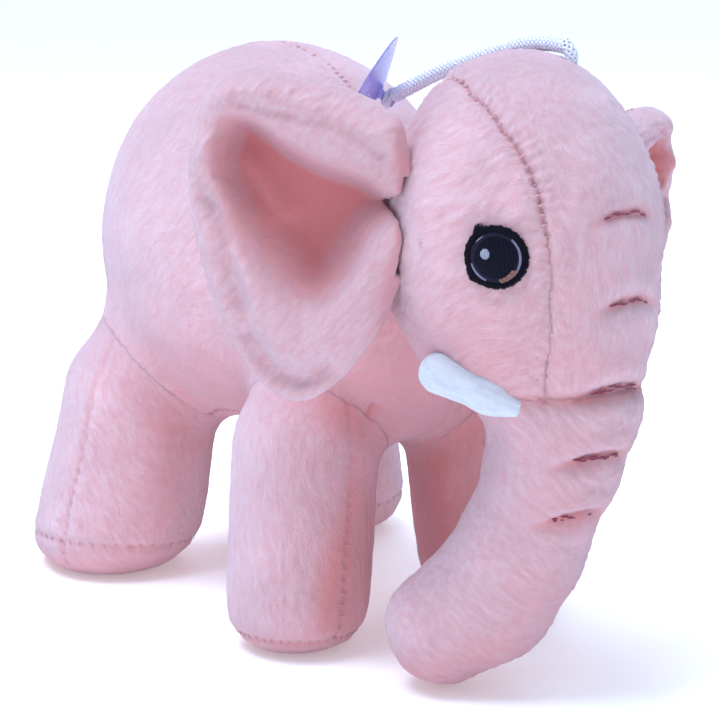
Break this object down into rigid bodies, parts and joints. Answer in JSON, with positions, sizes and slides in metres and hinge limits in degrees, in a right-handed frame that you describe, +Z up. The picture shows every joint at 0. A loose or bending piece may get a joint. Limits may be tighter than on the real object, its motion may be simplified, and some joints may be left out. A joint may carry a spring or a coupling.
{
  "type": "stuffed elephant",
  "caption": "Standing plush elephant with cupped ears, stuffed trunk and tusks, embroidered eyes, hanging cord and suction cup.",
  "frame": {"origin": "on the floor under the middle of the toy's bounding box, cord and suction cup left out", "axes": "+Z up, -Y the way the elephant faces, +X towards its left side"},
  "size_m": [0.1632, 0.2537, 0.1852],
  "materials": {
    "pink_plush": "short soft pile plush, matte with a pale sheen",
    "tusk_plush": "short white pile, matte",
    "filling": "loose white polyester fibre, matte",
    "eye_thread": "satin stitched thread, soft gloss",
    "crease_thread": "matte sewing thread",
    "cord": "braided white cord, matte",
    "suction_cup": "clear soft vinyl with a lavender tint, glossy"
  },
  "bodies": {
    "torso": {"torso_stuffing": "filling", "torso_side_right": "pink_plush", "torso_side_left": "pink_plush", "belly_panel": "pink_plush"},
    "head": {"head_stuffing": "filling", "forehead_gusset": "pink_plush", "head_side_right": "pink_plush", "head_side_left": "pink_plush", "face_crease_threads": "crease_thread", "eye_embroidery_right": "eye_thread", "eye_embroidery_left": "eye_thread", "tusk_cover_right": "tusk_plush", "tusk_cover_left": "tusk_plush", "tusk_stuffing_right": "filling", "tusk_stuffing_left": "filling", "cord_exit_tack": "pink_plush", "hanging_cord": "cord", "cord_loop": "cord"},
    "trunk": {"trunk_base_stuffing": "filling", "trunk_base_cover": "pink_plush", "trunk_crease_threads": "crease_thread"},
    "trunk_tip": {"trunk_tip_stuffing": "filling", "trunk_tip_cover": "pink_plush"},
    "ear_right": {"ear_outer_right": "pink_plush", "ear_lining_right": "pink_plush"},
    "ear_left": {"ear_outer_left": "pink_plush", "ear_lining_left": "pink_plush"},
    "tail": {"tail": "pink_plush"},
    "suction_cup": {"suction_cup": "suction_cup"},
    "leg_front_right": {"leg_stuffing_front_right": "filling", "leg_cover_front_right": "pink_plush", "sole_front_right": "pink_plush"},
    "leg_front_left": {"leg_stuffing_front_left": "filling", "leg_cover_front_left": "pink_plush", "sole_front_left": "pink_plush"},
    "leg_rear_right": {"leg_stuffing_rear_right": "filling", "leg_cover_rear_right": "pink_plush", "sole_rear_right": "pink_plush"},
    "leg_rear_left": {"leg_stuffing_rear_left": "filling", "leg_cover_rear_left": "pink_plush", "sole_rear_left": "pink_plush"}
  },
  "joints": [
    {"name": "neck_turn", "type": "hinge", "parent": "torso", "child": "head", "pos_m": [0, -0.046, 0.121], "axis": [0, 0, 1], "range_deg": [-12, 12], "stiffness_Nm_per_rad": 0.6},
    {"name": "trunk_swing", "type": "hinge", "parent": "head", "child": "trunk", "pos_m": [-0.002, -0.0973, 0.069], "axis": [-0.9945, -0.1045, 0], "range_deg": [-5, 25], "stiffness_Nm_per_rad": 0.4},
    {"name": "trunk_tip_bend", "type": "hinge", "parent": "trunk", "child": "trunk_tip", "pos_m": [-0.006, -0.0885, 0.042], "axis": [-0.9945, -0.1045, 0], "range_deg": [-5, 15], "stiffness_Nm_per_rad": 0.3},
    {"name": "ear_right_flap", "type": "hinge", "parent": "head", "child": "ear_right", "pos_m": [-0.04036, -0.07861, 0.131], "axis": [0, 0, 1], "range_deg": [-8, 8], "stiffness_Nm_per_rad": 0.08},
    {"name": "ear_left_flap", "type": "hinge", "parent": "head", "child": "ear_left", "pos_m": [0.02727, -0.0715, 0.131], "axis": [0, 0, 1], "range_deg": [-8, 8], "stiffness_Nm_per_rad": 0.08},
    {"name": "tail_swing", "type": "hinge", "parent": "torso", "child": "tail", "pos_m": [0, 0.1136, 0.146], "axis": [0, 1, 0], "range_deg": [-20, 20], "stiffness_Nm_per_rad": 0.02},
    {"name": "suction_cup_flex", "type": "hinge", "parent": "head", "child": "suction_cup", "pos_m": [-0.00985, -0.02751, 0.16421], "axis": [-0.5334, 0.1555, -0.8315], "range_deg": [-18, 18], "stiffness_Nm_per_rad": 0.03},
    {"name": "leg_front_right_flex", "type": "hinge", "parent": "torso", "child": "leg_front_right", "pos_m": [-0.031, -0.015, 0.06], "axis": [1, 0, 0], "range_deg": [-6, 6], "stiffness_Nm_per_rad": 3},
    {"name": "leg_front_left_flex", "type": "hinge", "parent": "torso", "child": "leg_front_left", "pos_m": [0.031, -0.015, 0.06], "axis": [1, 0, 0], "range_deg": [-6, 6], "stiffness_Nm_per_rad": 3},
    {"name": "leg_rear_right_flex", "type": "hinge", "parent": "torso", "child": "leg_rear_right", "pos_m": [-0.034, 0.0835, 0.058], "axis": [1, 0, 0], "range_deg": [-6, 6], "stiffness_Nm_per_rad": 3},
    {"name": "leg_rear_left_flex", "type": "hinge", "parent": "torso", "child": "leg_rear_left", "pos_m": [0.034, 0.0835, 0.058], "axis": [1, 0, 0], "range_deg": [-6, 6], "stiffness_Nm_per_rad": 3}
  ]
}
